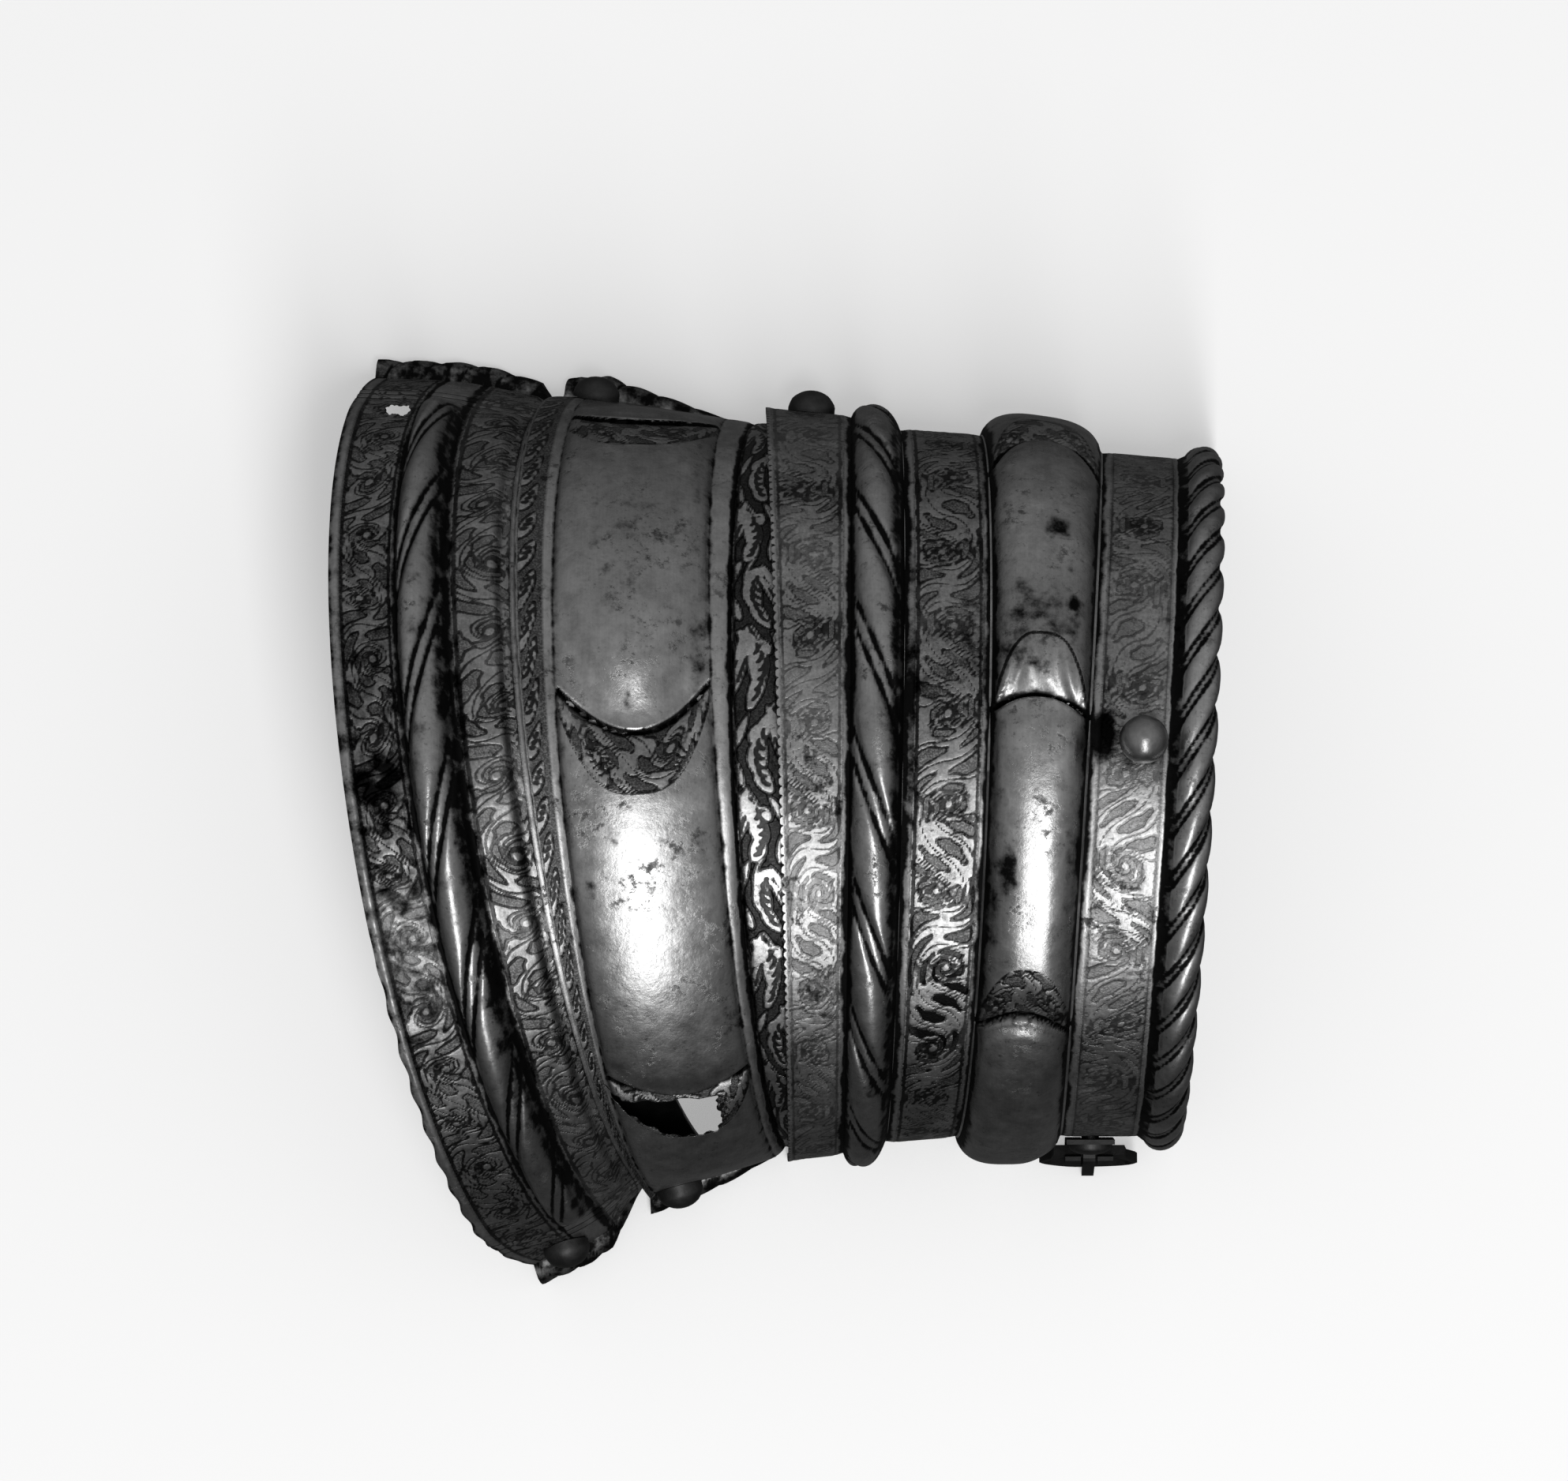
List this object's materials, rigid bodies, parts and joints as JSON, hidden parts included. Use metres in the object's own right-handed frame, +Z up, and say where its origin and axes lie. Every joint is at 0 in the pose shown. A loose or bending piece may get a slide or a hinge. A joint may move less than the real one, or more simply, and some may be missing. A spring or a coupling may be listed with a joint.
{
  "type": "arm guard",
  "caption": "Articulated steel arm defence: overlapping half-round plates with roped ridges and slashed puffs, riveted at their long edges, with a ball stud and a small strap buckle.",
  "frame": {"origin": "middle of the bounding box in X and Y, on the surface that the long edges stand on", "axes": "+X along the arm to the narrow end, +Y across the arm, +Z up to the crest of the plates"},
  "size_m": [0.1465, 0.1554, 0.0785],
  "materials": {
    "etched_steel": "satin, dark patina in the etched ground",
    "dark_iron": "dark, worn domes",
    "polished_iron": "polished, patinated",
    "blackened_iron": "blackened, matt"
  },
  "bodies": {
    "middle_lame": {"middle_lame": "etched_steel", "rivet_flare_left": "dark_iron", "rivet_flare_right": "dark_iron"},
    "flared_plate": {"flared_plate": "etched_steel", "rivet_corner": "dark_iron"},
    "cuff": {"cuff_plate": "etched_steel", "rivet_cuff_left": "dark_iron", "ball_stud": "polished_iron", "buckle_rivet": "dark_iron", "buckle_chape": "blackened_iron"},
    "buckle_frame": {"buckle_frame": "blackened_iron"},
    "buckle_tongue": {"buckle_tongue": "blackened_iron"}
  },
  "joints": [
    {"name": "flare_articulation", "type": "hinge", "parent": "middle_lame", "child": "flared_plate", "pos_m": [-0.02405, 0.00497, 0.0088], "axis": [-0.105, 0.9945, 0], "range_deg": [-3, 2]},
    {"name": "cuff_articulation", "type": "hinge", "parent": "middle_lame", "child": "cuff", "pos_m": [0.005, 0.00616, 0.012], "axis": [0, 1, 0], "range_deg": [-2, 3]},
    {"name": "buckle_swing", "type": "hinge", "parent": "cuff", "child": "buckle_frame", "pos_m": [0.0536, -0.05506, 0.0083], "axis": [-1, 0, 0], "range_deg": [-15, 70]},
    {"name": "tongue_swing", "type": "hinge", "parent": "buckle_frame", "child": "buckle_tongue", "pos_m": [0.0536, -0.05506, 0.0083], "axis": [-1, 0, 0], "range_deg": [0, 35]}
  ]
}
